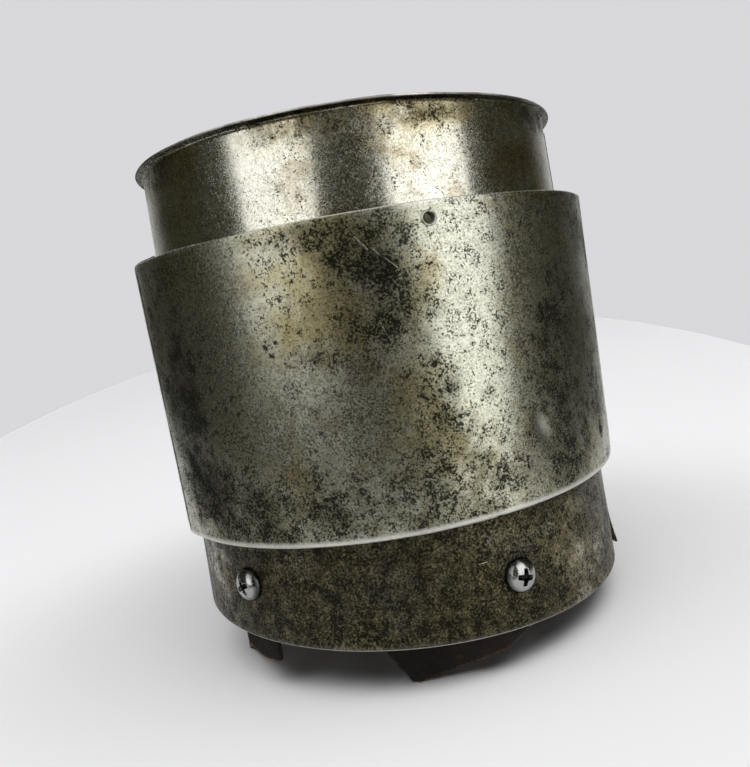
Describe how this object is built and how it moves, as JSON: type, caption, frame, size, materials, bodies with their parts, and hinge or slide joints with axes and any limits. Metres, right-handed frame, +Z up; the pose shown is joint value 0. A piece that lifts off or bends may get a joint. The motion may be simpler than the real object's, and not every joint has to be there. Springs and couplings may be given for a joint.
{
  "type": "chimney charcoal starter",
  "caption": "Round steel chimney on toothed legs with a tapered heat shield, ringed bail holes and a loose perforated grate.",
  "frame": {"origin": "on the floor under the tube's axis", "axes": "+Z up along the tube's axis, -Y towards the front, the side with the front eyelet and two screws"},
  "size_m": [0.1668, 0.1668, 0.1712],
  "materials": {
    "tube_steel": "old cleaned sheet steel, satin with brown and golden tarnish and black pitting",
    "shield_steel": "old cleaned sheet steel, darker, satin with heavy black speckle and brown patches",
    "rusted_plate": "burnt and rusted plate, dark brown, rough",
    "screw_steel": "bright polished",
    "eyelet_steel": "worn bright",
    "dull_steel": "dull oxidised steel"
  },
  "bodies": {
    "starter": {"chimney_tube": "tube_steel", "heat_shield": "shield_steel", "eyelet_1": "eyelet_steel", "eyelet_2": "eyelet_steel", "eyelet_3": "eyelet_steel", "spacer_clip_1": "dull_steel", "spacer_clip_2": "dull_steel", "spacer_clip_3": "dull_steel", "clip_rivet_1": "dull_steel", "clip_rivet_2": "dull_steel", "clip_rivet_3": "dull_steel", "leg_1": "rusted_plate", "leg_2": "rusted_plate", "leg_3": "rusted_plate", "leg_4": "rusted_plate", "leg_5": "rusted_plate", "screw_1": "screw_steel", "screw_2": "screw_steel", "screw_3": "screw_steel", "screw_4": "screw_steel", "screw_5": "screw_steel", "washer_1": "dull_steel", "washer_2": "dull_steel", "washer_3": "dull_steel", "washer_4": "dull_steel", "washer_5": "dull_steel", "nut_1": "dull_steel", "nut_2": "dull_steel", "nut_3": "dull_steel", "nut_4": "dull_steel", "nut_5": "dull_steel"},
    "grate": {"fuel_grate": "rusted_plate"}
  },
  "joints": [
    {"name": "grate_lift", "type": "slide", "parent": "starter", "child": "grate", "axis": [0, 0, 1], "range_m": [0, 0.18]}
  ]
}
